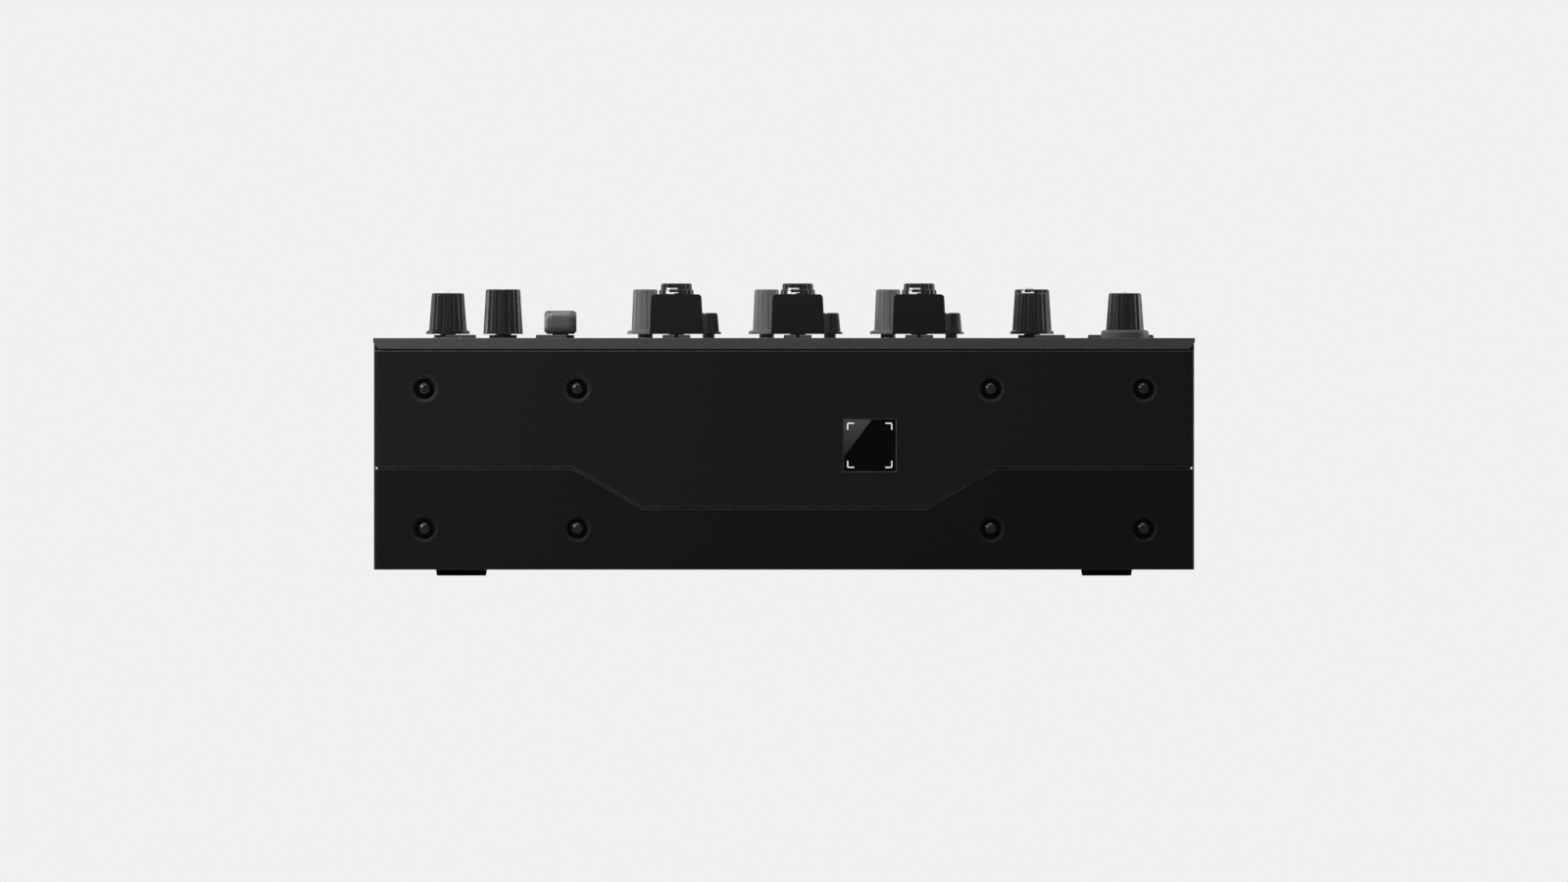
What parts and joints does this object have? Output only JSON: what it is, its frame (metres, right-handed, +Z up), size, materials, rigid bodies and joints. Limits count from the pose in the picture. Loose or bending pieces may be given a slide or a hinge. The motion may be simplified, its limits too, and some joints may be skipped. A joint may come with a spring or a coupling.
{
  "type": "dj mixer",
  "caption": "Three-channel DJ mixer: two-part case with a stepped front seam, folded top panel, knobs, channel faders, buttons, and sockets at the back.",
  "frame": {"origin": "under the middle of the whole box, on the plane the feet stand on", "axes": "+X to the right seen from the front, +Y to the back, +Z up; the front wall faces -Y"},
  "size_m": [0.304, 0.3884, 0.1081],
  "materials": {
    "case": "fine matt black powder coat",
    "panel": "fine matt dark grey coat",
    "rear": "matt black coat with white printing",
    "window": "gloss black",
    "screw": "black oxide",
    "steel": "zinc plated",
    "rubber": "matt",
    "board": "green solder mask",
    "nut": "black nickel",
    "lens": "smoked lens",
    "port": "nickel plated",
    "socket": "black nylon",
    "brass": "nickel-plated brass",
    "button": "translucent dark grey silicone",
    "fader_cap": "fine matt black",
    "knob": "satin black",
    "grey_knob": "satin mid grey",
    "selector": "satin metallic grey"
  },
  "bodies": {
    "chassis": {"lower_case": "case", "upper_case": "case", "top_panel": "panel", "rear_panel": "rear", "front_window": "window", "case_screws": "screw", "front_bracket": "steel", "rubber_feet": "rubber", "main_board": "board", "control_board": "board", "power_supply": "steel", "potentiometers": "steel", "knob_nuts": "nut", "fader_units": "steel", "level_meters": "lens", "display_window": "lens", "phono_sockets": "port", "xlr_sockets": "socket", "line_jacks": "socket", "data_ports": "port", "power_inlet": "socket", "headphone_jacks": "socket", "ground_terminals": "brass"},
    "ch1_trim_knob": {"ch1_trim_knob": "knob"},
    "ch1_high_knob": {"ch1_high_knob": "knob"},
    "ch1_mid_knob": {"ch1_mid_knob": "knob"},
    "ch1_low_knob": {"ch1_low_knob": "knob"},
    "ch1_filter_knob": {"ch1_filter_knob": "grey_knob"},
    "ch1_send_knob": {"ch1_send_knob": "knob"},
    "ch2_trim_knob": {"ch2_trim_knob": "knob"},
    "ch2_high_knob": {"ch2_high_knob": "knob"},
    "ch2_mid_knob": {"ch2_mid_knob": "knob"},
    "ch2_low_knob": {"ch2_low_knob": "knob"},
    "ch2_filter_knob": {"ch2_filter_knob": "grey_knob"},
    "ch2_send_knob": {"ch2_send_knob": "knob"},
    "ch3_trim_knob": {"ch3_trim_knob": "knob"},
    "ch3_high_knob": {"ch3_high_knob": "knob"},
    "ch3_mid_knob": {"ch3_mid_knob": "knob"},
    "ch3_low_knob": {"ch3_low_knob": "knob"},
    "ch3_filter_knob": {"ch3_filter_knob": "grey_knob"},
    "ch3_send_knob": {"ch3_send_knob": "knob"},
    "mic_level_knob": {"mic_level_knob": "knob"},
    "headphone_level_knob": {"headphone_level_knob": "knob"},
    "effect_selector_knob": {"effect_selector_knob": "selector"},
    "master_level_knob": {"master_level_knob": "knob"},
    "booth_level_knob": {"booth_level_knob": "knob"},
    "effect_depth_knob": {"effect_depth_knob": "knob"},
    "ch1_fader": {"ch1_fader": "fader_cap"},
    "ch2_fader": {"ch2_fader": "fader_cap"},
    "ch3_fader": {"ch3_fader": "fader_cap"},
    "ch1_cue_button": {"ch1_cue_button": "button"},
    "ch2_cue_button": {"ch2_cue_button": "button"},
    "ch3_cue_button": {"ch3_cue_button": "button"},
    "mic_button": {"mic_button": "button"},
    "link_button": {"link_button": "button"},
    "tap_button": {"tap_button": "button"},
    "beat_down_button": {"beat_down_button": "button"},
    "beat_up_button": {"beat_up_button": "button"},
    "effect_button": {"effect_button": "button"},
    "power_switch": {"power_switch": "socket"}
  },
  "joints": [
    {"name": "ch1_trim_knob_turn", "type": "hinge", "parent": "chassis", "child": "ch1_trim_knob", "pos_m": [-0.0398, 0.11915, 0.0879], "axis": [0, 0, -1], "range_deg": [-150, 150]},
    {"name": "ch1_high_knob_turn", "type": "hinge", "parent": "chassis", "child": "ch1_high_knob", "pos_m": [-0.0398, 0.07615, 0.0879], "axis": [0, 0, -1], "range_deg": [0, 300]},
    {"name": "ch1_mid_knob_turn", "type": "hinge", "parent": "chassis", "child": "ch1_mid_knob", "pos_m": [-0.0398, 0.03315, 0.0879], "axis": [0, 0, -1], "range_deg": [0, 300]},
    {"name": "ch1_low_knob_turn", "type": "hinge", "parent": "chassis", "child": "ch1_low_knob", "pos_m": [-0.0398, -0.00985, 0.0879], "axis": [0, 0, -1], "range_deg": [0, 300]},
    {"name": "ch1_filter_knob_turn", "type": "hinge", "parent": "chassis", "child": "ch1_filter_knob", "pos_m": [-0.0513, -0.04185, 0.0879], "axis": [0, 0, -1], "range_deg": [-150, 150]},
    {"name": "ch1_send_knob_turn", "type": "hinge", "parent": "chassis", "child": "ch1_send_knob", "pos_m": [-0.0279, -0.04185, 0.0879], "axis": [0, 0, -1], "range_deg": [0, 300]},
    {"name": "ch2_trim_knob_turn", "type": "hinge", "parent": "chassis", "child": "ch2_trim_knob", "pos_m": [0.0051, 0.11915, 0.0879], "axis": [0, 0, -1], "range_deg": [-150, 150]},
    {"name": "ch2_high_knob_turn", "type": "hinge", "parent": "chassis", "child": "ch2_high_knob", "pos_m": [0.0051, 0.07615, 0.0879], "axis": [0, 0, -1], "range_deg": [0, 300]},
    {"name": "ch2_mid_knob_turn", "type": "hinge", "parent": "chassis", "child": "ch2_mid_knob", "pos_m": [0.0051, 0.03315, 0.0879], "axis": [0, 0, -1], "range_deg": [0, 300]},
    {"name": "ch2_low_knob_turn", "type": "hinge", "parent": "chassis", "child": "ch2_low_knob", "pos_m": [0.0051, -0.00985, 0.0879], "axis": [0, 0, -1], "range_deg": [0, 300]},
    {"name": "ch2_filter_knob_turn", "type": "hinge", "parent": "chassis", "child": "ch2_filter_knob", "pos_m": [-0.0064, -0.04185, 0.0879], "axis": [0, 0, -1], "range_deg": [-150, 150]},
    {"name": "ch2_send_knob_turn", "type": "hinge", "parent": "chassis", "child": "ch2_send_knob", "pos_m": [0.017, -0.04185, 0.0879], "axis": [0, 0, -1], "range_deg": [0, 300]},
    {"name": "ch3_trim_knob_turn", "type": "hinge", "parent": "chassis", "child": "ch3_trim_knob", "pos_m": [0.05, 0.11915, 0.0879], "axis": [0, 0, -1], "range_deg": [-150, 150]},
    {"name": "ch3_high_knob_turn", "type": "hinge", "parent": "chassis", "child": "ch3_high_knob", "pos_m": [0.05, 0.07615, 0.0879], "axis": [0, 0, -1], "range_deg": [0, 300]},
    {"name": "ch3_mid_knob_turn", "type": "hinge", "parent": "chassis", "child": "ch3_mid_knob", "pos_m": [0.05, 0.03315, 0.0879], "axis": [0, 0, -1], "range_deg": [0, 300]},
    {"name": "ch3_low_knob_turn", "type": "hinge", "parent": "chassis", "child": "ch3_low_knob", "pos_m": [0.05, -0.00985, 0.0879], "axis": [0, 0, -1], "range_deg": [0, 300]},
    {"name": "ch3_filter_knob_turn", "type": "hinge", "parent": "chassis", "child": "ch3_filter_knob", "pos_m": [0.0385, -0.04185, 0.0879], "axis": [0, 0, -1], "range_deg": [-150, 150]},
    {"name": "ch3_send_knob_turn", "type": "hinge", "parent": "chassis", "child": "ch3_send_knob", "pos_m": [0.0619, -0.04185, 0.0879], "axis": [0, 0, -1], "range_deg": [0, 300]},
    {"name": "mic_level_knob_turn", "type": "hinge", "parent": "chassis", "child": "mic_level_knob", "pos_m": [-0.1243, 0.12815, 0.0879], "axis": [0, 0, -1], "range_deg": [-150, 150]},
    {"name": "headphone_level_knob_turn", "type": "hinge", "parent": "chassis", "child": "headphone_level_knob", "pos_m": [-0.1039, -0.09785, 0.0879], "axis": [0, 0, -1], "range_deg": [-150, 150]},
    {"name": "effect_selector_knob_turn", "type": "hinge", "parent": "chassis", "child": "effect_selector_knob", "pos_m": [-0.0827, 0.03315, 0.0879], "axis": [0, 0, -1], "range_deg": [-60, 60]},
    {"name": "master_level_knob_turn", "type": "hinge", "parent": "chassis", "child": "master_level_knob", "pos_m": [0.0917, 0.14615, 0.0879], "axis": [0, 0, -1], "range_deg": [0, 300]},
    {"name": "booth_level_knob_turn", "type": "hinge", "parent": "chassis", "child": "booth_level_knob", "pos_m": [0.0917, 0.10215, 0.0879], "axis": [0, 0, -1], "range_deg": [-150, 150]},
    {"name": "effect_depth_knob_turn", "type": "hinge", "parent": "chassis", "child": "effect_depth_knob", "pos_m": [0.1261, -0.07585, 0.0879], "axis": [0, 0, -1], "range_deg": [-150, 150]},
    {"name": "ch1_fader_slide", "type": "slide", "parent": "chassis", "child": "ch1_fader", "axis": [0, 1, 0], "range_m": [0, 0.06]},
    {"name": "ch2_fader_slide", "type": "slide", "parent": "chassis", "child": "ch2_fader", "axis": [0, 1, 0], "range_m": [0, 0.06]},
    {"name": "ch3_fader_slide", "type": "slide", "parent": "chassis", "child": "ch3_fader", "axis": [0, 1, 0], "range_m": [0, 0.06]},
    {"name": "ch1_cue_button_press", "type": "slide", "parent": "chassis", "child": "ch1_cue_button", "axis": [0, 0, -1], "range_m": [0, 0.0005], "stiffness_N_per_m": 2000, "springref_m": -0.0002},
    {"name": "ch2_cue_button_press", "type": "slide", "parent": "chassis", "child": "ch2_cue_button", "axis": [0, 0, -1], "range_m": [0, 0.0005], "stiffness_N_per_m": 2000, "springref_m": -0.0002},
    {"name": "ch3_cue_button_press", "type": "slide", "parent": "chassis", "child": "ch3_cue_button", "axis": [0, 0, -1], "range_m": [0, 0.0005], "stiffness_N_per_m": 2000, "springref_m": -0.0002},
    {"name": "mic_button_press", "type": "slide", "parent": "chassis", "child": "mic_button", "axis": [0, 0, -1], "range_m": [0, 0.0005], "stiffness_N_per_m": 2000, "springref_m": -0.0002},
    {"name": "link_button_press", "type": "slide", "parent": "chassis", "child": "link_button", "axis": [0, 0, -1], "range_m": [0, 0.0005], "stiffness_N_per_m": 2000, "springref_m": -0.0002},
    {"name": "tap_button_press", "type": "slide", "parent": "chassis", "child": "tap_button", "axis": [0, 0, -1], "range_m": [0, 0.0005], "stiffness_N_per_m": 2000, "springref_m": -0.0002},
    {"name": "beat_down_button_press", "type": "slide", "parent": "chassis", "child": "beat_down_button", "axis": [0, 0, -1], "range_m": [0, 0.0005], "stiffness_N_per_m": 2000, "springref_m": -0.0002},
    {"name": "beat_up_button_press", "type": "slide", "parent": "chassis", "child": "beat_up_button", "axis": [0, 0, -1], "range_m": [0, 0.0005], "stiffness_N_per_m": 2000, "springref_m": -0.0002},
    {"name": "effect_button_press", "type": "slide", "parent": "chassis", "child": "effect_button", "axis": [0, 0, -1], "range_m": [0, 0.0005], "stiffness_N_per_m": 2000, "springref_m": -0.0002},
    {"name": "power_switch_rock", "type": "hinge", "parent": "chassis", "child": "power_switch", "pos_m": [0.12682, 0.17915, 0.0662], "axis": [-1, 0, 0], "range_deg": [0, 16]}
  ]
}
